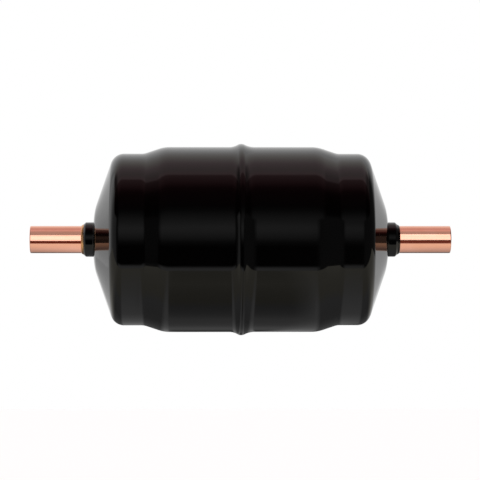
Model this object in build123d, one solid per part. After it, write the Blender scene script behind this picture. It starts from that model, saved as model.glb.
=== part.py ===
# Hermetic liquid-line filter drier with solder sockets.
#
# Two drawn steel cups meet at a girth weld.  Liquid enters at -X, passes inwards through a moulded
# desiccant core to its blind bore, then through a filter mat, a screen and a perforated plate to the
# outlet at +X.  A conical spring at the inlet presses the whole stack against the outlet step.
#
# X is the axis of the shell, Z is up, and the origin is on the axis in the plane of the girth weld.
# Lengths are millimetres and angles are degrees.
from build123d import *

import os
from math import asin, atan, ceil, cos, degrees, radians, tan

# Shell: one pressing, used twice
shell_radius = 38.1  # outside, at the girth weld
sheet = 1.6
half_length = 60.35  # girth weld to the flat of the nose
step_depth = 2.75  # how much smaller in radius each end section is
step_angle = 18.5  # slope of the step, from the axis
step_outer_blend = 14.0
step_inner_blend = 7.0
end_section_length = 12.2  # step to shoulder, between sharp corners
shoulder_blend = 5.6
nose_angle = 19.4  # slope of the nose, from the plane square to the axis
nose_flat_radius = 11.4  # sharp corner between the slope and the flat
nose_blend = 22.0

# Girth weld and the ring behind it
root_gap = 0.8  # between the rims of the two cups
weld_width = 7.4
weld_height = 1.35
weld_toe_blend = 1.6
backing_length = 10.0
backing_thickness = 1.0
backing_bevel = 0.3
backing_clearance = 0.1

# Collars and copper connectors, the same at both ends
collar_radius = 7.1
collar_length = 4.15
collar_chamfer_length = 1.25
collar_chamfer_depth = 1.15
spigot_radius = 6.4  # the part of the collar that stands in the shell's hole
collar_fillet = 0.4  # braze between collar and shell
connector_radius = 5.6
connector_overhang = 22.0  # outer face of the collar to the mouth
connector_inset = 1.0  # inner face of the nose to the connector's inner end
connector_edge = 0.35
socket_radius = 4.825  # takes a 3/8 in tube
socket_depth = 12.0
port_radius = 3.9  # bore behind the socket's stop
stop_cone = 45.0
port_chamfer = 0.5
braze_fillet_length = 1.0  # braze between connector and collar
braze_clearance = 0.05

# Outlet end of the stack
rim_margin = 0.3  # end of the step's blend to the rim of the plate
plate_thickness = 1.2
plate_bend = 2.5
perforation_radius = 2.6
perforation_pitch = 8.0
perforation_rings = 2
screen_thickness = 0.6
screen_pitch = 6.8
screen_bar = 1.4
screen_border = 2.0
stack_clearance = 0.3  # felt and screen to the bend of the plate's rim
mat_radius = 24.0
mat_thickness = 5.0
mat_clearance = 0.1

# Desiccant core
core_annulus = 3.5  # passage between the core and the shell
core_length = 54.0
core_chamfer = 1.5
core_blind_wall = 14.0
core_bore_mouth = 10.0
core_bore_end = 8.0

# Inlet end of the stack
felt_thickness = 2.0
felt_bore = 20.0
felt_inset = 1.2
cup_thickness = 1.0
cup_clearance = 0.3  # core to the pressure plate's cup
cup_depth = 5.5
cup_bend = 1.0
cup_flare_length = 3.5
cup_flare_bend = 1.5
cup_wall_clearance = 0.15  # tips of the fingers to the shell
cup_bore = 8.0
cup_finger_count = 6
cup_slot_width = 16.0
cup_slot_start = 1.8
dish_radius = 22.0
dish_height = 1.5
dish_run = 1.5

# Spring
wire_radius = 0.9
wire_sides = 8  # flats that stand for the round wire
spring_turns = 4.0
spring_nose_radius = 6.7  # to the middle of the wire
spring_seat_margin = 1.6  # foot of the dish to the edge of the wire

# Places that several pieces share, along the axis from the girth weld or out from the axis
shell_bore = shell_radius - sheet
end_radius = shell_radius - step_depth
nose_run = tan(radians(nose_angle)) * (end_radius - nose_flat_radius)
shoulder_x = half_length - nose_run
step_end_x = shoulder_x - end_section_length
step_start_x = step_end_x - step_depth / tan(radians(step_angle))
nose_inner_x = half_length - sheet
collar_face_x = half_length + collar_length
mouth_x = collar_face_x + connector_overhang
core_radius = shell_bore - core_annulus
half_turn = tan(radians(step_angle) / 2)


def step_bore_at(x):
    """Radius of the shell's inner face at x, on the slope of the outlet step."""
    return shell_radius - tan(radians(step_angle)) * (x - step_start_x) - sheet / cos(radians(step_angle))


# The slope's straight stretch on the inner face, between its two blends
slope_start_x = step_start_x + half_turn * (
    (step_outer_blend - sheet) * cos(radians(step_angle)) - sheet
)
slope_end_x = step_end_x - half_turn * (
    (step_inner_blend + sheet) * cos(radians(step_angle)) + sheet
)
plate_face_x = slope_end_x - plate_thickness  # inlet side of the perforated plate
screen_face_x = plate_face_x - screen_thickness
mat_face_x = screen_face_x - mat_thickness
core_start_x = mat_face_x - core_length
felt_start_x = core_start_x - felt_thickness
web_turn = radians(90 - step_angle)
stack_radius = step_bore_at(slope_end_x) - plate_bend * tan(web_turn / 2) - stack_clearance
dish_foot = dish_radius + dish_run
spring_seat_x = felt_start_x - cup_thickness
spring_plate_radius = dish_foot + spring_seat_margin + wire_radius


def turned(*edges):
    """A solid of revolution about X from the closed outline of the edges."""
    return revolve(make_face(edges), Axis.X)


def pressed(path, thickness):
    """A solid of revolution about X in sheet laid to the right of the path."""
    outline = offset(path, thickness, side=Side.RIGHT)
    return revolve(make_face(outline.edges()), Axis.X)


def disc(start_x, thickness, outer, inner=0.0):
    """A flat disc or ring whose inlet side is at start_x."""
    ring = Plane.YZ.offset(start_x) * Circle(outer)
    if inner:
        ring -= Plane.YZ.offset(start_x) * Circle(inner)
    return extrude(ring, thickness)


def outlet_shell():
    """Drawn cup: straight wall, step, narrower end section, sloping nose with a pierced flat."""
    outside = FilletPolyline(
        (root_gap / 2, shell_radius),
        (step_start_x, shell_radius),
        (step_end_x, end_radius),
        (shoulder_x, end_radius),
        (half_length, nose_flat_radius),
        (half_length, spigot_radius + braze_clearance),
        radius=[step_outer_blend, step_inner_blend, shoulder_blend, nose_blend],
    )
    return pressed(outside, sheet)


def seam_weld():
    """Girth weld: a root between the two rims and a crown that runs out on the shells in soft toes."""
    both_blends = (weld_width**2 / 4 + weld_height**2) / (2 * weld_height)
    crown_blend = both_blends - weld_toe_blend
    climb = degrees(asin(weld_width / 2 / both_blends))
    toe = JernArc((-weld_width / 2, shell_radius), (1, 0), weld_toe_blend, climb)
    crown = JernArc(toe @ 1, toe % 1, crown_blend, -2 * climb)
    far_toe = JernArc(crown @ 1, crown % 1, weld_toe_blend, climb)
    root = Polyline(
        far_toe @ 1,
        (root_gap / 2, shell_radius),
        (root_gap / 2, shell_bore),
        (-root_gap / 2, shell_bore),
        (-root_gap / 2, shell_radius),
        toe @ 0,
    )
    return turned(toe, crown, far_toe, *root.edges())


def backing_ring():
    """Ring inside the shells that carries the root of the girth weld."""
    outer = shell_bore - backing_clearance
    ring = disc(-backing_length / 2, backing_length, outer, outer - backing_thickness)
    rims = ring.edges().filter_by(GeomType.CIRCLE).group_by(SortBy.RADIUS)[-1]
    return chamfer(rims, backing_bevel)


def outlet_collar():
    """Turned steel bush: a chamfered flange on the nose and a spigot through the pierced hole."""
    bore = connector_radius + braze_clearance
    outline = Polyline(
        (nose_inner_x, bore),
        (nose_inner_x, spigot_radius),
        (half_length, spigot_radius),
        (half_length, collar_radius),
        (collar_face_x - collar_chamfer_length, collar_radius),
        (collar_face_x, collar_radius - collar_chamfer_depth),
        (collar_face_x, bore),
        close=True,
    )
    return turned(*outline.edges())


def outlet_collar_braze():
    """Fillet of braze in the corner between the collar and the nose."""
    outline = Polyline(
        (half_length, collar_radius),
        (half_length, collar_radius + collar_fillet),
        (half_length + collar_fillet, collar_radius),
        close=True,
    )
    return turned(*outline.edges())


def outlet_connector():
    """Copper connector: a socket for the tube, a stop, and a narrower port into the shell."""
    inner_end_x = nose_inner_x - connector_inset
    stop_x = mouth_x - socket_depth
    stop_run = (socket_radius - port_radius) / tan(radians(stop_cone))
    outline = Polyline(
        (inner_end_x, port_radius),
        (inner_end_x, connector_radius - port_chamfer),
        (inner_end_x + port_chamfer, connector_radius),
        (mouth_x, connector_radius),
        (mouth_x, socket_radius),
        (stop_x, socket_radius),
        (stop_x - stop_run, port_radius),
        close=True,
    )
    tube = turned(*outline.edges())
    mouth = tube.faces().sort_by(Axis.X)[-1]
    return fillet(mouth.edges().sort_by(SortBy.RADIUS)[-1], connector_edge)


def outlet_braze_ring():
    """Fillet of braze where the connector leaves the collar."""
    outline = Polyline(
        (collar_face_x, connector_radius),
        (collar_face_x, collar_radius - collar_chamfer_depth),
        (collar_face_x + braze_fillet_length, connector_radius),
        close=True,
    )
    return turned(*outline.edges())


def perforated_plate():
    """Dished plate: its sloping rim lies on the outlet step, its web carries the screen."""
    rim_x = slope_start_x + rim_margin
    face = FilletPolyline(
        (rim_x, step_bore_at(rim_x)),
        (slope_end_x, step_bore_at(slope_end_x)),
        (slope_end_x, 0),
        radius=plate_bend,
    )
    plate = pressed(face, plate_thickness)
    drill = Cylinder(perforation_radius, 4 * plate_thickness)
    web = Plane.YZ.offset(slope_end_x)
    holes = [web * drill]
    for ring in range(1, perforation_rings + 1):
        places = PolarLocations(ring * perforation_pitch, 6 * ring)
        holes += [web * place * drill for place in places]
    return plate - holes


def mesh_screen():
    """Square-mesh screen with a plain border, flat on the perforated plate."""
    screen = disc(screen_face_x, screen_thickness, stack_radius)
    gap = screen_pitch - screen_bar
    reach = stack_radius - screen_border
    count = 2 * ceil(reach / screen_pitch) + 1
    window = Box(4 * screen_thickness, gap, gap)
    for place in GridLocations(screen_pitch, screen_pitch, count, count):
        corner = Vector(abs(place.position.X) + gap / 2, abs(place.position.Y) + gap / 2)
        if corner.length < reach:
            screen -= Pos(screen_face_x, place.position.X, place.position.Y) * window
    return screen


def filter_mat():
    """Bonded fibre mat over the bore of the core."""
    return disc(mat_face_x, mat_thickness, mat_radius)


def outlet_felt_ring():
    """Felt ring round the mat: it seals the core to the plate, so that nothing passes round it."""
    return disc(mat_face_x, mat_thickness, stack_radius, mat_radius + mat_clearance)


def desiccant_core():
    """Moulded block: chamfered ends and a tapered bore that is blind towards the inlet."""
    end_x = core_start_x + core_length
    blind_x = core_start_x + core_blind_wall
    outline = Polyline(
        (core_start_x, 0),
        (core_start_x, core_radius - core_chamfer),
        (core_start_x + core_chamfer, core_radius),
        (end_x - core_chamfer, core_radius),
        (end_x, core_radius - core_chamfer),
        (end_x, core_bore_mouth),
        (blind_x, core_bore_end),
        (blind_x, 0),
        close=True,
    )
    return turned(*outline.edges())


def inlet_felt_ring():
    """Felt ring between the pressure plate and the core."""
    return disc(felt_start_x, felt_thickness, core_radius - felt_inset, felt_bore)


def pressure_plate():
    """Cup that holds the core's end: a raised dish locates the spring, flared fingers meet the shell."""
    dish_x = felt_start_x - dish_height
    cup_radius = core_radius + cup_clearance
    flare_x = felt_start_x + cup_depth
    finger_radius = shell_bore - cup_wall_clearance - cup_thickness
    inside = FilletPolyline(
        (flare_x + cup_flare_length, finger_radius),
        (flare_x, cup_radius),
        (felt_start_x, cup_radius),
        (felt_start_x, dish_foot),
        (dish_x, dish_radius),
        (dish_x, cup_bore),
        radius=[cup_flare_bend, cup_bend, cup_bend, cup_bend],
    )
    cup = pressed(inside, cup_thickness)
    slot_x = felt_start_x + cup_slot_start
    slot = Box(
        2 * (cup_depth + cup_flare_length),
        cup_slot_width,
        shell_radius,
        align=(Align.MIN, Align.CENTER, Align.MIN),
    )
    turn = 360 / cup_finger_count
    slots = [Rot(X=turn * step) * Pos(slot_x, 0, 0) * slot for step in range(cup_finger_count)]
    return cup - slots


def core_spring():
    """Conical spring, ground flat where it stands on the nose and on the pressure plate."""
    height = spring_seat_x + nose_inner_x
    cone = degrees(atan((spring_plate_radius - spring_nose_radius) / height))
    coil = Helix(
        pitch=height / spring_turns,
        height=height,
        radius=spring_nose_radius,
        center=(-nose_inner_x, 0, 0),
        direction=(1, 0, 0),
        cone_angle=cone,
    )
    section = RegularPolygon(wire_radius, wire_sides)
    wire = sweep(Plane(origin=coil @ 0, z_dir=coil % 0) * section, path=coil, is_frenet=True)
    room = 2 * shell_radius
    between_seats = Pos(-nose_inner_x, 0, 0) * Box(
        height, room, room, align=(Align.MIN, Align.CENTER, Align.CENTER)
    )
    return wire & between_seats


outlet_end = {
    "shell": outlet_shell(),
    "collar": outlet_collar(),
    "collar_braze": outlet_collar_braze(),
    "connector": outlet_connector(),
    "braze_ring": outlet_braze_ring(),
}
pieces = {f"outlet_{name}": piece for name, piece in outlet_end.items()}
pieces |= {f"inlet_{name}": mirror(piece, Plane.YZ) for name, piece in outlet_end.items()}
pieces |= {
    "seam_weld": seam_weld(),
    "backing_ring": backing_ring(),
    "perforated_plate": perforated_plate(),
    "mesh_screen": mesh_screen(),
    "filter_mat": filter_mat(),
    "outlet_felt_ring": outlet_felt_ring(),
    "desiccant_core": desiccant_core(),
    "inlet_felt_ring": inlet_felt_ring(),
    "pressure_plate": pressure_plate(),
    "core_spring": core_spring(),
}

os.makedirs("parts", exist_ok=True)
for name, piece in pieces.items():
    export_step(piece, f"parts/{name}.step")
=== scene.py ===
from math import ceil, cos, pi, radians, sin, tan

import bpy
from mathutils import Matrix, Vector


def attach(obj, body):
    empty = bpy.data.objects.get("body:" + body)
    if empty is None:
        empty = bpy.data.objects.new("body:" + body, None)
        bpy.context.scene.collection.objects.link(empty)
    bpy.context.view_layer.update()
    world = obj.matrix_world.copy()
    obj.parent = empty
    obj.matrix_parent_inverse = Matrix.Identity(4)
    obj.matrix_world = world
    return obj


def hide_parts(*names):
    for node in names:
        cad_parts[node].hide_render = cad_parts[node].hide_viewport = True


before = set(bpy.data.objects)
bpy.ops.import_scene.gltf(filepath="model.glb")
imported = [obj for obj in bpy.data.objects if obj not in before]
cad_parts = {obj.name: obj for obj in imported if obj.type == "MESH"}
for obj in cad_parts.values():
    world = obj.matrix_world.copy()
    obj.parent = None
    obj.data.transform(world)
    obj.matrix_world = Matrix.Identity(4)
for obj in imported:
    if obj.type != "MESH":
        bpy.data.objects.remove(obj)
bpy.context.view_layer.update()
mm = 0.001


# ---------------------------------------------------------------- shell
# Two deep-drawn cups of 1.6 mm mild steel, the same pressing at both ends.  Each steps down to a
# narrower end section, rolls over a soft shoulder into a shallow cone and ends in a pierced flat.
# The finished body is powder coated gloss black and stoved, which leaves it as smooth as glass.
shell_sheet = 1.6 * mm
shell_radius = 38.1 * mm
rim_x = 0.4 * mm
step_depth = 2.75 * mm
step_slope = radians(18.5)
step_outer_blend = 14.0 * mm
step_inner_blend = 7.0 * mm
end_section_length = 12.2 * mm
shoulder_blend = 5.6 * mm
nose_slope = radians(19.4)
nose_flat_radius = 11.4 * mm
nose_blend = 22.0 * mm
nose_x = 60.35 * mm
hole_radius = 6.45 * mm
shell_sides = 256
# Extra rings on the long walls: from the weld to the step, then this far past a corner or before it.
wall_rings = 12
first_wall_ring = 4.0 * mm
wall_ring_pitch = 2.0 * mm
after_step = (1.6 * mm, 4.0 * mm)
before_shoulder = 4.6 * mm
after_shoulder = (2.2 * mm, 4.0 * mm, 5.5 * mm)


def first_ring(name, x, radius, sides):
    """Starts a turned piece: one ring of points round the X axis, left open in edit mode."""
    bpy.ops.object.select_all(action="DESELECT")
    bpy.ops.mesh.primitive_circle_add(
        vertices=sides, radius=radius, location=(x, 0, 0), rotation=(0, pi / 2, 0)
    )
    bpy.ops.object.transform_apply(location=True, rotation=True, scale=True)
    piece = bpy.context.object
    piece.name = name
    piece.data.name = name
    bpy.ops.object.mode_set(mode="EDIT")
    bpy.ops.mesh.select_all(action="SELECT")
    return piece


def rolled(corners):
    """The outline through (x, radius, blend) corners, each corner rolled to its blend radius."""
    outline = [Vector(corners[0][:2])]
    for (*before, _), (*at, blend), (*after, _) in zip(corners, corners[1:], corners[2:]):
        corner = Vector(at)
        arrives = (corner - Vector(before)).normalized()
        leaves = (Vector(after) - corner).normalized()
        turn = arrives.angle_signed(leaves)
        if not blend:
            outline.append(corner)
            continue
        start = corner - arrives * blend * tan(abs(turn) / 2)
        steps = max(3, ceil(abs(turn) / radians(4)))
        inward = Vector((arrives.y, -arrives.x)) * (1 if turn > 0 else -1)
        centre = start + inward * blend
        for step in range(steps + 1):
            angle = abs(turn) * step / steps
            outline.append(centre + (arrives * sin(angle) - inward * cos(angle)) * blend)
    outline.append(Vector(corners[-1][:2]))
    return outline


def draw_on(outline):
    """Pulls the last ring through each (x, radius) of the outline in turn."""
    for (x, radius), (next_x, next_radius) in zip(outline, outline[1:]):
        bpy.ops.mesh.extrude_region_move(TRANSFORM_OT_translate={"value": (next_x - x, 0, 0)})
        ratio = next_radius / radius
        bpy.ops.transform.resize(value=(1, ratio, ratio), center_override=(0, 0, 0))


def hold(places):
    """Cuts a ring into the walls at each x, so that long walls shade flat right up to their blends."""
    for x in places:
        bpy.ops.mesh.select_all(action="SELECT")
        bpy.ops.mesh.bisect(plane_co=(x, 0, 0), plane_no=(1, 0, 0))


def finish_turned(closed=True):
    """Closes the outline, turns every face outwards and leaves edit mode, smooth except at edges."""
    bpy.ops.mesh.select_all(action="SELECT")
    if closed:
        bpy.ops.mesh.remove_doubles(threshold=0.002 * mm)
    bpy.ops.mesh.normals_make_consistent(inside=False)
    bpy.ops.object.mode_set(mode="OBJECT")
    bpy.ops.object.shade_smooth_by_angle(angle=radians(28))
    even = bpy.context.object.modifiers.new("even", "WEIGHTED_NORMAL")
    even.keep_sharp = True
    even.weight = 100
    bpy.ops.object.modifier_apply(modifier="even")


step_run = step_depth / tan(step_slope)
end_radius = shell_radius - step_depth
shoulder_x = nose_x - tan(nose_slope) * (end_radius - nose_flat_radius)
step_end_x = shoulder_x - end_section_length
step_start_x = step_end_x - step_run

shells = []
for end, side in (("inlet", -1), ("outlet", 1)):
    outline = rolled(
        [
            (side * rim_x, shell_radius, 0),
            (side * step_start_x, shell_radius, step_outer_blend),
            (side * step_end_x, end_radius, step_inner_blend),
            (side * shoulder_x, end_radius, shoulder_blend),
            (side * nose_x, nose_flat_radius, nose_blend),
            (side * nose_x, hole_radius, 0),
        ]
    )
    shell = first_ring(f"{end}_shell_painted", *outline[0], shell_sides)
    draw_on(outline)
    hold([side * (first_wall_ring + wall_ring_pitch * ring) for ring in range(wall_rings)])
    hold([side * (step_end_x + run) for run in after_step])
    hold([side * (shoulder_x - before_shoulder)])
    hold([side * (shoulder_x + run) for run in after_shoulder])
    finish_turned(closed=False)
    wall = shell.modifiers.new("sheet", "SOLIDIFY")
    wall.thickness = shell_sheet
    wall.offset = -1
    wall.use_even_offset = True
    bpy.ops.object.modifier_apply(modifier="sheet")
    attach(shell, "root")
    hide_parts(f"{end}_shell")
    shells.append(shell)


def linear(code):
    """An sRGB hex colour as the linear RGBA that sockets take."""
    channels = [int(code[place : place + 2], 16) / 255 for place in (1, 3, 5)]
    return [c / 12.92 if c <= 0.04045 else ((c + 0.055) / 1.055) ** 2.4 for c in channels] + [1.0]


def new_material(name):
    """An empty node material with its output, and the output's name for links."""
    material = bpy.data.materials.new(name)
    material.use_nodes = True
    material.node_tree.nodes.clear()
    add(material, "OUTPUT", "ShaderNodeOutputMaterial")
    return material


def add(owner, name, kind, values=None, links=None, **settings):
    """Adds one named node: its settings, its socket values and the sockets that feed it or it feeds.

    links is {input of this node: (node, output)}; a material's output is fed by feed() below.
    """
    tree = owner.node_tree
    node = tree.nodes.new(kind)
    node.name = name
    for key, value in settings.items():
        setattr(node, key, value)
    for socket, value in (values or {}).items():
        node.inputs[socket].default_value = value
    for socket, (source, output) in (links or {}).items():
        tree.links.new(tree.nodes[source].outputs[output], node.inputs[socket])
    return node


def feed(owner, source, output, socket="Surface"):
    """Links a shader to the material's or world's output."""
    tree = owner.node_tree
    tree.links.new(tree.nodes[source].outputs[output], tree.nodes["OUTPUT"].inputs[socket])


# Stoved gloss black powder coat: a deep black film that mirrors the studio and hides the steel.
# The film flows out almost flat, with an orange peel a few millimetres across that the eye just
# catches where a reflection has a hard edge, and a gloss that varies a little from place to place.
gloss_black = new_material("stoved_gloss_black")
add(gloss_black, "place", "ShaderNodeTexCoord")
add(
    gloss_black,
    "peel",
    "ShaderNodeTexNoise",
    {"Scale": 1 / (3.5 * mm), "Detail": 2.0, "Roughness": 0.4},
    {"Vector": ("place", "Object")},
)
add(
    gloss_black,
    "peel_height",
    "ShaderNodeBump",
    {"Strength": 0.05, "Distance": 0.02 * mm},
    {"Height": ("peel", "Fac")},
)
add(
    gloss_black,
    "flow",
    "ShaderNodeTexNoise",
    {"Scale": 1 / (14 * mm), "Detail": 3.0, "Roughness": 0.5},
    {"Vector": ("place", "Object")},
)
add(
    gloss_black,
    "gloss",
    "ShaderNodeMapRange",
    {"From Min": 0.35, "From Max": 0.65, "To Min": 0.04, "To Max": 0.08},
    {"Value": ("flow", "Fac")},
)
add(
    gloss_black,
    "film",
    "ShaderNodeBsdfPrincipled",
    {"Base Color": linear("#060505"), "IOR": 1.42},
    {"Roughness": ("gloss", "Result"), "Normal": ("peel_height", "Normal")},
)
feed(gloss_black, "film", "BSDF")
for shell in shells:
    shell.data.materials.clear()
    shell.data.materials.append(gloss_black)


# ---------------------------------------------------------------- girth weld
# One pass of weld closes the two rims, turned under the torch, so it is the same all round: a
# rounded crown, a little right of the joint, that runs out on both cups in soft toes, further on
# the right.  It is coated together with the shell.
weld_height = 1.33 * mm
weld_crown_x = 0.2 * mm
weld_crown_blend = 3.0 * mm
weld_left_flank = radians(30)
weld_left_toe = 6.9 * mm
weld_right_flank = radians(27)
weld_right_toe = 9.0 * mm
root_radius = shell_radius - shell_sheet

# The corner that the crown's blend rolls off, and where each flank and its toe meet the shell.
half_turn = (weld_left_flank + weld_right_flank) / 2
lean = (weld_right_flank - weld_left_flank) / 2
crown_corner_x = weld_crown_x + weld_crown_blend * sin(lean) / cos(half_turn)
crown_corner = weld_height + weld_crown_blend * (cos(lean) / cos(half_turn) - 1)
left_toe_x = crown_corner_x - crown_corner / tan(weld_left_flank)
right_toe_x = crown_corner_x + crown_corner / tan(weld_right_flank)
left_end_x = left_toe_x - weld_left_toe * tan(weld_left_flank / 2)
right_end_x = right_toe_x + weld_right_toe * tan(weld_right_flank / 2)

weld_outline = rolled(
    [
        (right_end_x, shell_radius, 0),
        (rim_x, shell_radius, 0),
        (rim_x, root_radius, 0),
        (-rim_x, root_radius, 0),
        (-rim_x, shell_radius, 0),
        (left_end_x, shell_radius, 0),
        (left_toe_x, shell_radius, weld_left_toe),
        (crown_corner_x, shell_radius + crown_corner, weld_crown_blend),
        (right_toe_x, shell_radius, weld_right_toe),
        (right_end_x, shell_radius, 0),
    ]
)
weld = first_ring("seam_weld_painted", *weld_outline[0], shell_sides)
draw_on(weld_outline)
finish_turned()
weld.data.materials.append(gloss_black)
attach(weld, "root")
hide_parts("seam_weld")


# ---------------------------------------------------------------- collars
# Turned steel bushes brazed into the pierced noses, chamfered towards the tube and coated with the
# shell.  The film rounds their edges, and a small fillet of braze under it softens the foot.
collar_radius = 7.1 * mm
collar_face_x = 64.5 * mm
collar_chamfer_length = 0.85 * mm
collar_chamfer_depth = 0.8 * mm
collar_bore = 5.65 * mm
collar_foot = 0.4 * mm
collar_film = 0.6 * mm
face_film = 0.18 * mm
spigot_radius = 6.4 * mm
collar_sides = 96

for end, side in (("inlet", -1), ("outlet", 1)):
    inner_x = side * (nose_x - shell_sheet)
    chamfer_x = side * (collar_face_x - collar_chamfer_length)
    face_radius = collar_radius - collar_chamfer_depth
    outline = rolled(
        [
            (inner_x, collar_bore, 0),
            (inner_x, spigot_radius, 0),
            (side * nose_x, spigot_radius, 0),
            (side * nose_x, collar_radius, 0),
            (chamfer_x, collar_radius, collar_film),
            (side * collar_face_x, face_radius, face_film),
            (side * collar_face_x, collar_bore, 0),
            (inner_x, collar_bore, 0),
        ]
    )
    collar = first_ring(f"{end}_collar_painted", *outline[0], collar_sides)
    draw_on(outline)
    finish_turned()
    collar.data.materials.append(gloss_black)
    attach(collar, "root")
    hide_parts(f"{end}_collar")

    foot_outline = rolled(
        [
            (side * nose_x, collar_radius, 0),
            (side * nose_x, collar_radius + collar_foot, 0),
            (side * (nose_x + 0.3 * collar_foot), collar_radius + 0.3 * collar_foot, 0.5 * collar_foot),
            (side * (nose_x + collar_foot), collar_radius, 0),
            (side * nose_x, collar_radius, 0),
        ]
    )
    foot = first_ring(f"{end}_collar_fillet", *foot_outline[0], collar_sides)
    draw_on(foot_outline)
    finish_turned()
    foot.data.materials.append(gloss_black)
    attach(foot, "root")
    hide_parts(f"{end}_collar_braze")


# ---------------------------------------------------------------- copper connectors
# Drawn copper sleeves brazed into the collars: a smooth socket for the pipe, a stop, and a narrower
# port.  They are masked while the body is coated and stay bare, bright, and faintly drawn lengthwise.
connector_radius = 5.6 * mm
mouth_x = 86.5 * mm
connector_end_x = 57.75 * mm
socket_radius = 4.825 * mm
socket_depth = 12.0 * mm
port_radius = 3.9 * mm
end_chamfer = 0.5 * mm
mouth_edge = 0.35 * mm
mouth_deburr = 0.12 * mm
mouth_rings = (0.6 * mm, 2.0 * mm)
middle_of_wall = 5.0 * mm
stop_run = socket_radius - port_radius

connectors = []
for end, side in (("inlet", -1), ("outlet", 1)):
    stop_x = mouth_x - socket_depth
    start_x = side * (mouth_x - middle_of_wall)
    outline = rolled(
        [
            (start_x, connector_radius, 0),
            (side * (connector_end_x + end_chamfer), connector_radius, 0),
            (side * connector_end_x, connector_radius - end_chamfer, 0),
            (side * connector_end_x, port_radius, 0),
            (side * (stop_x - stop_run), port_radius, 0),
            (side * stop_x, socket_radius, 0),
            (side * mouth_x, socket_radius, mouth_deburr),
            (side * mouth_x, connector_radius, mouth_edge),
            (start_x, connector_radius, 0),
        ]
    )
    connector = first_ring(f"{end}_copper_connector", *outline[0], collar_sides)
    draw_on(outline)
    hold([side * (mouth_x - run) for run in mouth_rings])
    finish_turned()
    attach(connector, "root")
    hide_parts(f"{end}_connector")
    connectors.append(connector)

# Drawn copper: a warm metal mirror, slightly softened.  The die leaves lines along the tube, finer
# than half a millimetre, and long shallow waves that make the edge of a reflection wander.
bright_copper = new_material("bright_drawn_copper")
add(bright_copper, "place", "ShaderNodeTexCoord")
add(
    bright_copper,
    "along",
    "ShaderNodeMapping",
    {"Scale": (0.03, 1, 1)},
    {"Vector": ("place", "Object")},
)
add(
    bright_copper,
    "die_lines",
    "ShaderNodeTexNoise",
    {"Scale": 1 / (0.35 * mm), "Detail": 4.0, "Roughness": 0.6},
    {"Vector": ("along", "Vector")},
)
add(
    bright_copper,
    "waves",
    "ShaderNodeTexNoise",
    {"Scale": 1 / (9 * mm), "Detail": 1.0},
    {"Vector": ("place", "Object")},
)
add(
    bright_copper,
    "wave_height",
    "ShaderNodeBump",
    {"Strength": 0.35, "Distance": 0.04 * mm},
    {"Height": ("waves", "Fac")},
)
add(
    bright_copper,
    "line_height",
    "ShaderNodeBump",
    {"Strength": 0.05, "Distance": 0.01 * mm},
    {"Height": ("die_lines", "Fac"), "Normal": ("wave_height", "Normal")},
)
add(
    bright_copper,
    "bloom",
    "ShaderNodeTexNoise",
    {"Scale": 1 / (6 * mm), "Detail": 4.0, "Roughness": 0.6},
    {"Vector": ("place", "Object")},
)
add(
    bright_copper,
    "tone",
    "ShaderNodeMix",
    {"A": linear("#F9BCA6"), "B": linear("#F2AE90")},
    {"Factor": ("bloom", "Fac")},
    data_type="RGBA",
)
add(
    bright_copper,
    "softness",
    "ShaderNodeMapRange",
    {"From Min": 0.3, "From Max": 0.7, "To Min": 0.09, "To Max": 0.14},
    {"Value": ("die_lines", "Fac")},
)
add(
    bright_copper,
    "metal",
    "ShaderNodeBsdfPrincipled",
    {"Metallic": 1.0},
    {
        "Base Color": ("tone", "Result"),
        "Roughness": ("softness", "Result"),
        "Normal": ("line_height", "Normal"),
    },
)
feed(bright_copper, "metal", "BSDF")
for connector in connectors:
    connector.data.materials.append(bright_copper)


# ---------------------------------------------------------------- braze at the tubes
# A ring of filler metal drawn into each collar, left as a small fillet.  At the inlet the mask
# kept it bare, the colour of pale brass; at the outlet the black film runs over it to the copper.
braze_length = 1.0 * mm
braze_roll = 0.3 * mm

braze_alloy = new_material("set_brazing_alloy")
add(braze_alloy, "place", "ShaderNodeTexCoord")
add(
    braze_alloy,
    "skin",
    "ShaderNodeTexNoise",
    {"Scale": 1 / (0.6 * mm), "Detail": 3.0},
    {"Vector": ("place", "Object")},
)
add(
    braze_alloy,
    "skin_height",
    "ShaderNodeBump",
    {"Strength": 0.3, "Distance": 0.03 * mm},
    {"Height": ("skin", "Fac")},
)
add(
    braze_alloy,
    "tone",
    "ShaderNodeMix",
    {"A": linear("#EDBE8A"), "B": linear("#C98F5E")},
    {"Factor": ("skin", "Fac")},
    data_type="RGBA",
)
add(
    braze_alloy,
    "metal",
    "ShaderNodeBsdfPrincipled",
    {"Metallic": 1.0, "Roughness": 0.28},
    {"Base Color": ("tone", "Result"), "Normal": ("skin_height", "Normal")},
)
feed(braze_alloy, "metal", "BSDF")

for end, side, finish, finish_slot in (
    ("inlet", -1, braze_alloy, "braze"),
    ("outlet", 1, gloss_black, "collar_paint"),
):
    top_radius = collar_radius - collar_chamfer_depth
    saddle_x = side * (collar_face_x + 0.75 * braze_length)
    saddle_radius = connector_radius + 0.45 * (top_radius - connector_radius)
    outline = rolled(
        [
            (side * collar_face_x, connector_radius, 0),
            (side * collar_face_x, top_radius, 0),
            (saddle_x, saddle_radius, braze_roll),
            (side * (collar_face_x + braze_length), connector_radius, 0),
            (side * collar_face_x, connector_radius, 0),
        ]
    )
    braze = first_ring(f"{end}_braze_fillet", *outline[0], collar_sides)
    draw_on(outline)
    finish_turned()
    braze.data.materials.append(finish)
    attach(braze, "root")
    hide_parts(f"{end}_braze_ring")


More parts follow.
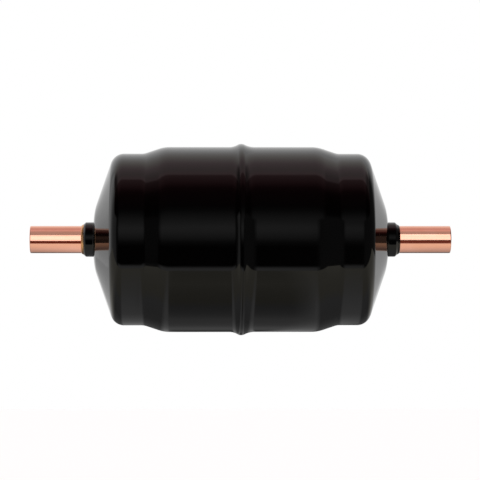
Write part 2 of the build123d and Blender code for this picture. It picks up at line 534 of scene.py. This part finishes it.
# ---------------------------------------------------------------- pressed and woven steel inside
# Backing ring, pressure plate, perforated plate and screen: bare low-carbon strip, rolled, blanked
# and pressed.  Rolling leaves fine lines, and the faces are grey and half matt.
bare_steel = new_material("bare_rolled_strip")
add(bare_steel, "place", "ShaderNodeTexCoord")
add(
    bare_steel,
    "rolled",
    "ShaderNodeMapping",
    {"Scale": (1, 0.05, 1)},
    {"Vector": ("place", "Object")},
)
add(
    bare_steel,
    "rolling_lines",
    "ShaderNodeTexNoise",
    {"Scale": 1 / (0.4 * mm), "Detail": 4.0},
    {"Vector": ("rolled", "Vector")},
)
add(
    bare_steel,
    "line_height",
    "ShaderNodeBump",
    {"Strength": 0.2, "Distance": 0.01 * mm},
    {"Height": ("rolling_lines", "Fac")},
)
add(
    bare_steel,
    "softness",
    "ShaderNodeMapRange",
    {"To Min": 0.3, "To Max": 0.45},
    {"Value": ("rolling_lines", "Fac")},
)
add(
    bare_steel,
    "metal",
    "ShaderNodeBsdfPrincipled",
    {"Base Color": linear("#BDBBB7"), "Metallic": 1.0},
    {"Roughness": ("softness", "Result"), "Normal": ("line_height", "Normal")},
)
feed(bare_steel, "metal", "BSDF")


def dress(node, material):
    """Gives a carried-over CAD node its finish."""
    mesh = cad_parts[node].data
    mesh.materials.clear()
    mesh.materials.append(material)


for node in ("backing_ring", "pressure_plate", "perforated_plate", "mesh_screen"):
    dress(node, bare_steel)


# ---------------------------------------------------------------- core spring
# Oil-tempered spring wire, coiled in a cone and ground flat at both seats: blue-grey, with the thin
# even scale that tempering leaves.
spring_wire = new_material("oil_tempered_wire")
add(spring_wire, "place", "ShaderNodeTexCoord")
add(
    spring_wire,
    "scale_patches",
    "ShaderNodeTexNoise",
    {"Scale": 1 / (2 * mm), "Detail": 3.0},
    {"Vector": ("place", "Object")},
)
add(
    spring_wire,
    "tone",
    "ShaderNodeMix",
    {"A": linear("#7C7F86"), "B": linear("#5B5E66")},
    {"Factor": ("scale_patches", "Fac")},
    data_type="RGBA",
)
add(
    spring_wire,
    "metal",
    "ShaderNodeBsdfPrincipled",
    {"Metallic": 1.0, "Roughness": 0.38},
    {"Base Color": ("tone", "Result")},
)
feed(spring_wire, "metal", "BSDF")
dress("core_spring", spring_wire)


# ---------------------------------------------------------------- desiccant core
# A block of molecular sieve and alumina beads, each under a millimetre, bonded and baked in a mould:
# tan, chalky, and pebbled all over.
bonded_beads = new_material("bonded_desiccant_beads")
add(bonded_beads, "place", "ShaderNodeTexCoord")
add(
    bonded_beads,
    "beads",
    "ShaderNodeTexVoronoi",
    {"Scale": 1 / (0.9 * mm)},
    {"Vector": ("place", "Object")},
)
add(
    bonded_beads,
    "bead_height",
    "ShaderNodeBump",
    {"Strength": 0.8, "Distance": 0.3 * mm},
    {"Height": ("beads", "Distance")},
    invert=True,
)
add(
    bonded_beads,
    "tone",
    "ShaderNodeMix",
    {"A": linear("#C9AD87"), "B": linear("#A98A64")},
    {"Factor": ("beads", "Color")},
    data_type="RGBA",
)
add(
    bonded_beads,
    "chalk",
    "ShaderNodeBsdfPrincipled",
    {"Roughness": 0.85},
    {"Base Color": ("tone", "Result"), "Normal": ("bead_height", "Normal")},
)
feed(bonded_beads, "chalk", "BSDF")
dress("desiccant_core", bonded_beads)


# ---------------------------------------------------------------- felt rings and filter mat
# Pressed wool felt seals both ends of the core, and a mat of bonded polyester fibre closes its bore.
# Both are soft and matt, with fibres some hundredths of a millimetre thick, drawn here ten times
# coarser so that they show.
for name, code, nodes in (
    ("pressed_wool_felt", "#DDD8CC", ("inlet_felt_ring", "outlet_felt_ring")),
    ("bonded_polyester_fibre", "#EFEFEA", ("filter_mat",)),
):
    fibre = new_material(name)
    add(fibre, "place", "ShaderNodeTexCoord")
    add(
        fibre,
        "strands",
        "ShaderNodeTexNoise",
        {"Scale": 1 / (0.5 * mm), "Detail": 6.0, "Distortion": 1.5},
        {"Vector": ("place", "Object")},
    )
    add(
        fibre,
        "strand_height",
        "ShaderNodeBump",
        {"Strength": 0.6, "Distance": 0.2 * mm},
        {"Height": ("strands", "Fac")},
    )
    add(
        fibre,
        "cloth",
        "ShaderNodeBsdfPrincipled",
        {"Base Color": linear(code), "Roughness": 0.95, "Sheen Weight": 0.3},
        {"Normal": ("strand_height", "Normal")},
    )
    feed(fibre, "cloth", "BSDF")
    for node in nodes:
        dress(node, fibre)


# ---------------------------------------------------------------- table
# A white table top well below the object, wide and deep, that ends a little in front of it.  What the gloss
# mirrors of it is a glow with the body's shadow painted on it in strips, cast by no lamp: darkest under and
# behind the body, lighter beyond it.
table_drop = 300 * mm
table_front = -394 * mm
table_back = 3000 * mm
table_half_width = 2500 * mm
painted_reflection_glow = 0.72
table_lift = 0.66

bpy.ops.object.select_all(action="DESELECT")
bpy.ops.mesh.primitive_plane_add(size=1, location=(0, (table_front + table_back) / 2, -table_drop))
table = bpy.context.object
table.name = "table"
table.scale = (2 * table_half_width, table_back - table_front, 1)
bpy.ops.object.transform_apply(location=True, rotation=True, scale=True)


def step_ramp(owner, name, source, output, stops, low, high):
    """A ramp over the range low to high: stops are (place in that range, grey level or RGB)."""
    place = add(
        owner,
        f"{name}_place",
        "ShaderNodeMapRange",
        {"From Min": low, "From Max": high},
        {"Value": (source, output)},
    )
    ramp = add(owner, name, "ShaderNodeValToRGB", {}, {"Fac": (place.name, "Result")}).color_ramp
    while len(ramp.elements) < len(stops):
        ramp.elements.new(0.5)
    for element, (at, level) in zip(ramp.elements, stops):
        element.position = (at - low) / (high - low)
        element.color = (*level, 1) if isinstance(level, tuple) else (level, level, level, 1)


table_white = new_material("white_table")
add(table_white, "ray", "ShaderNodeLightPath")
add(table_white, "facing", "ShaderNodeNewGeometry")
add(table_white, "place", "ShaderNodeTexCoord")
add(table_white, "axes", "ShaderNodeSeparateXYZ", {}, {0: ("place", "Object")})
add(table_white, "off_middle", "ShaderNodeMath", {}, {0: ("axes", "X")}, operation="ABSOLUTE")
# What the gloss sees of the table, a painted shadow of the body in strips: a strip under the body, under the
# stepped-down ends, beyond them and far off.  Each is (name, how far from the middle it takes over from the
# last one, painted glow levels by depth behind the object), in metres.
painted_shadow_strips = (
    (
        "under_body",
        None,
        (
            (-0.315, 0.56),
            (-0.220, 0.585),
            (-0.144, 0.47),
            (-0.066, 0.38),
            (-0.015, 0.34),
            (0.043, 0.35),
            (0.116, 0.41),
            (0.166, 0.345),
            (0.233, 0.31),
            (0.346, 0.335),
            (0.685, 0.07),
            (0.900, 0.07),
            (1.200, 0.14),
        ),
    ),
    (
        "under_ends",
        (0.034, 0.050),
        ((-0.40, 0.88), (-0.05, 0.84), (0.03, 0.72), (0.12, 0.52), (0.30, 0.46), (1.40, 0.46)),
    ),
    (
        "beyond",
        (0.072, 0.110),
        (
            (-0.40, 0.82),
            (-0.22, 0.74),
            (-0.10, 0.62),
            (-0.02, 0.50),
            (0.10, 0.30),
            (0.20, 0.20),
            (0.80, 0.16),
        ),
    ),
    ("far_off", (0.280, 0.500), ((-0.40, 1.0), (1.40, 1.0))),
)
# In the painted reflection, the front part up to this depth is a little warmer; the table itself stays
# white.
painted_reflection_warmth = (1.05, 1.0, 0.84)
warm_until = -60 * mm
nearest = -0.5
furthest = 1.5


def warmed(stops):
    """The stops with those in front tinted."""
    return [
        (at, tuple(level * part for part in painted_reflection_warmth)) if at < warm_until else (at, level)
        for at, level in stops
    ]


for name, takes_over, stops in painted_shadow_strips:
    step_ramp(table_white, name, "axes", "Y", warmed(stops), nearest, furthest)
    if takes_over is None:
        so_far = (name, "Color")
        continue
    add(
        table_white,
        f"at_{name}",
        "ShaderNodeMapRange",
        {"From Min": takes_over[0], "From Max": takes_over[1]},
        {"Value": ("off_middle", "Value")},
    )
    add(
        table_white,
        f"to_{name}",
        "ShaderNodeMix",
        {},
        {"Factor": (f"at_{name}", "Result"), "A": so_far, "B": (name, "Color")},
        data_type="RGBA",
    )
    so_far = (f"to_{name}", "Result")
add(table_white, "sheet", "ShaderNodeBsdfDiffuse", {"Color": linear("#F4F4F4")})
add(table_white, "lift", "ShaderNodeEmission", {"Strength": table_lift})
add(table_white, "seen", "ShaderNodeAddShader", {}, {0: ("sheet", "BSDF"), 1: ("lift", "Emission")})
# Only glossy rays see this glow: a painted reflection of the table, with the body's painted shadow in it.
add(
    table_white,
    "mirrored",
    "ShaderNodeEmission",
    {"Strength": painted_reflection_glow},
    {"Color": so_far},
)
add(
    table_white,
    "straight_seen",
    "ShaderNodeMath",
    {},
    {0: ("ray", "Is Camera Ray"), 1: ("ray", "Is Transmission Ray")},
)
add(
    table_white,
    "from_camera",
    "ShaderNodeMixShader",
    {},
    {0: ("straight_seen", "Value"), 1: ("sheet", "BSDF"), 2: ("seen", "Shader")},
)
add(
    table_white,
    "from_gloss",
    "ShaderNodeMixShader",
    {},
    {0: ("ray", "Is Glossy Ray"), 1: ("from_camera", "Shader"), 2: ("mirrored", "Emission")},
)
add(table_white, "clear", "ShaderNodeBsdfTransparent")
add(
    table_white,
    "one_sided",
    "ShaderNodeMixShader",
    {},
    {0: ("facing", "Backfacing"), 1: ("from_gloss", "Shader"), 2: ("clear", "BSDF")},
)
feed(table_white, "one_sided", "Shader")
table.data.materials.append(table_white)


# ---------------------------------------------------------------- room
# A white room behind and above, dark in front but for one broad soft light just over the camera,
# and white walls to the sides.  Levels are grey values or RGB by direction; 1 is white.
world = bpy.data.worlds.new("studio")
bpy.context.scene.world = world
world.use_nodes = True
world.node_tree.nodes.clear()
add(world, "OUTPUT", "ShaderNodeOutputWorld")
add(world, "direction", "ShaderNodeTexCoord")
add(world, "axes", "ShaderNodeSeparateXYZ", {}, {0: ("direction", "Generated")})
add(world, "towards_front", "ShaderNodeMath", {1: -1.0}, {0: ("axes", "Y")}, operation="MULTIPLY")
add(
    world,
    "height",
    "ShaderNodeMath",
    {},
    {0: ("axes", "Z"), 1: ("towards_front", "Value")},
    operation="ARCTAN2",
)
add(
    world,
    "bearing",
    "ShaderNodeMath",
    {},
    {0: ("axes", "X"), 1: ("towards_front", "Value")},
    operation="ARCTAN2",
)
degree = pi / 180


def by_degrees(stops):
    """The stops with their degrees in radians, as the angles above come."""
    return [(at * degree, level) for at, level in stops]


# By height: from behind and below (-180), past the front (0) and overhead (90), to behind (180).
band_heights = (
    (-180, 0.90),
    (-60, 0.60),
    (-36, 0.55),
    (-33, 0.008),
    (-9, 0.008),
    (-3, 0.07),
    (3, 0.20),
    (10, 0.31),
    (15, 0.335),
    (22, 0.235),
    (30, 0.13),
    (37, 0.05),
    (42, (0.030, 0.020, 0.023)),
    (60, (0.050, 0.018, 0.022)),
    (67, (0.080, 0.028, 0.035)),
    (76, (0.230, 0.110, 0.120)),
    (86.2, (0.350, 0.200, 0.210)),
    (88.0, (0.700, 0.480, 0.500)),
    (96, (0.600, 0.480, 0.480)),
    (108, (0.660, 0.510, 0.530)),
    (122, (0.800, 0.740, 0.700)),
    (140, 0.94),
    (153, 0.97),
    (168, 0.88),
    (180, 0.88),
)
step_ramp(world, "bands", "height", "Value", by_degrees(band_heights), -pi, pi)
# In front and at the sides they fade out far to the left and the right, where mostly the tubes'
# images in the noses see them.
band_ends = ((-0.58, 0.25), (-0.40, 1.0), (0.40, 1.0), (0.58, 0.35))
step_ramp(world, "in_front", "axes", "X", band_ends, -0.7, 0.7)
add(
    world,
    "fade",
    "ShaderNodeMapRange",
    {"From Min": -0.45, "From Max": -0.30},
    {"Value": ("towards_front", "Value")},
)
add(
    world,
    "faded_bands",
    "ShaderNodeMix",
    {},
    {"Factor": ("fade", "Result"), "A": ("bands", "Color"), "B": ("in_front", "Color")},
    data_type="RGBA",
    blend_type="MULTIPLY",
)
# By bearing: from behind (-180), past the left (-90), the front (0) and the right (90), to behind.
# The left wall reaches further forward than the right one.
wall_bearings = (
    (-180, 0.66),
    (-136, 0.72),
    (-124, 1.25),
    (-106, 1.2),
    (-92, 0.66),
    (-80, 0.42),
    (-52, 0.30),
    (-44, 0.06),
    (0, 0.06),
    (30, 0.08),
    (118, 0.08),
    (127, 0.26),
    (136, 0.60),
    (143, 0.78),
    (180, 0.78),
)
step_ramp(world, "walls", "bearing", "Value", by_degrees(wall_bearings), -pi, pi)
# Where the front gives way to the walls, by how far a direction points to the left or the right.
front_edges = ((-0.61, 1.0), (-0.55, 0.0), (0.03, 0.0), (0.10, 0.3), (0.30, 1.0))
step_ramp(world, "off_front", "axes", "X", front_edges, -0.7, 0.7)
# The walls end at this height, lower in front than at the sides, and the bands go on over them.
add(
    world,
    "overhead_from",
    "ShaderNodeMapRange",
    {"From Min": 0.30, "From Max": 0.0, "To Min": 0.38, "To Max": 0.62},
    {"Value": ("towards_front", "Value")},
)
add(
    world,
    "over",
    "ShaderNodeMath",
    {},
    {0: ("axes", "Z"), 1: ("overhead_from", "Result")},
    operation="SUBTRACT",
)
add(
    world,
    "below_overhead",
    "ShaderNodeMapRange",
    {"From Min": 0.08, "From Max": 0.0},
    {"Value": ("over", "Value")},
    interpolation_type="SMOOTHSTEP",
)
add(
    world,
    "at_walls",
    "ShaderNodeMath",
    {},
    {0: ("off_front", "Color"), 1: ("below_overhead", "Result")},
    operation="MULTIPLY",
)
add(
    world,
    "room",
    "ShaderNodeMix",
    {},
    {"Factor": ("at_walls", "Value"), "A": ("faded_bands", "Result"), "B": ("walls", "Color")},
    data_type="RGBA",
)
# The camera sees plain white, and so does what mirrors or passes on a ray straight behind.
add(world, "ray", "ShaderNodeLightPath")
add(world, "mirrors", "ShaderNodeMath", {}, {0: ("ray", "Is Glossy Ray"), 1: ("ray", "Is Transmission Ray")})
add(
    world,
    "straight_behind",
    "ShaderNodeMapRange",
    {"From Min": 0.90, "From Max": 0.99},
    {"Value": ("axes", "Y")},
)
add(
    world,
    "mirrored",
    "ShaderNodeMath",
    {},
    {0: ("mirrors", "Value"), 1: ("straight_behind", "Result")},
    operation="MULTIPLY",
)
add(
    world,
    "white_share",
    "ShaderNodeMath",
    {},
    {0: ("ray", "Is Camera Ray"), 1: ("mirrored", "Value")},
    use_clamp=True,
)
add(world, "lit", "ShaderNodeBackground", {}, {"Color": ("room", "Result")})
add(world, "white", "ShaderNodeBackground", {"Color": (1, 1, 1, 1), "Strength": 1.0})
add(
    world,
    "backdrop",
    "ShaderNodeMixShader",
    {},
    {0: ("white_share", "Value"), 1: ("lit", "Background"), 2: ("white", "Background")},
)
feed(world, "backdrop", "Shader")


# ---------------------------------------------------------------- tube lights
# Soft lights for the bare copper alone: one beside the camera for each tube, one over both, one
# under each, and a dim copper-red card in front between the upper and the lower ones.  Each is
# (name, middle, turn about X, size, radiance, colour), in metres.
white = (1, 1, 1)
copper_red = (1, 0.16, 0.04)
bare_copper = bpy.data.collections.new("bare_copper")
for connector in connectors:
    bare_copper.objects.link(connector)
for name, middle, turn, (across, along), radiance, colour in (
    ("left_tube_light", (-0.136, -1.0, 0.26), pi / 2, (0.2, 0.92), 1.5, white),
    ("right_tube_light", (0.181, -1.0, 0.47), pi / 2, (0.2, 1.06), 1.5, white),
    ("tubes_top_light", (0.01, -0.75, 1.0), 0, (0.6, 1.38), 0.42, white),
    ("left_under_light", (-0.09, -0.05, -0.29), pi, (0.2, 0.70), 0.30, white),
    ("right_under_light", (0.11, -0.09, -0.29), pi, (0.2, 0.78), 0.30, white),
    ("tubes_red_card", (0.02, -1.0, -0.44), pi / 2, (0.6, 0.60), 0.11, copper_red),
):
    bpy.ops.object.light_add(type="AREA", location=middle, rotation=(turn, 0, 0))
    lamp = bpy.context.object
    lamp.name = name
    lamp.data.shape = "RECTANGLE"
    lamp.data.size = across
    lamp.data.size_y = along
    lamp.data.energy = radiance * pi * across * along
    lamp.data.color = colour
    lamp.visible_camera = False
    lamp.light_linking.receiver_collection = bare_copper


# ---------------------------------------------------------------- camera
# Level with the object's axis and a little to the left of square on.
camera_distance = 910 * mm
camera_turn = radians(1.3)
view_width = 197.9 * mm
pixel = view_width / 480
aim_side = -0.6 * pixel
aim_z = -0.5 * pixel
sensor_width = 36

forward = Vector((sin(camera_turn), cos(camera_turn), 0))
rightward = Vector((cos(camera_turn), -sin(camera_turn), 0))
camera_place = rightward * aim_side - forward * camera_distance + Vector((0, 0, aim_z))
bpy.ops.object.camera_add(location=camera_place, rotation=(pi / 2, 0, -camera_turn))
camera = bpy.context.object
camera.data.sensor_width = sensor_width
camera.data.lens = sensor_width * camera_distance / view_width
camera.data.clip_start = 0.01
bpy.context.scene.camera = camera
bpy.context.scene.view_settings.view_transform = "Standard"
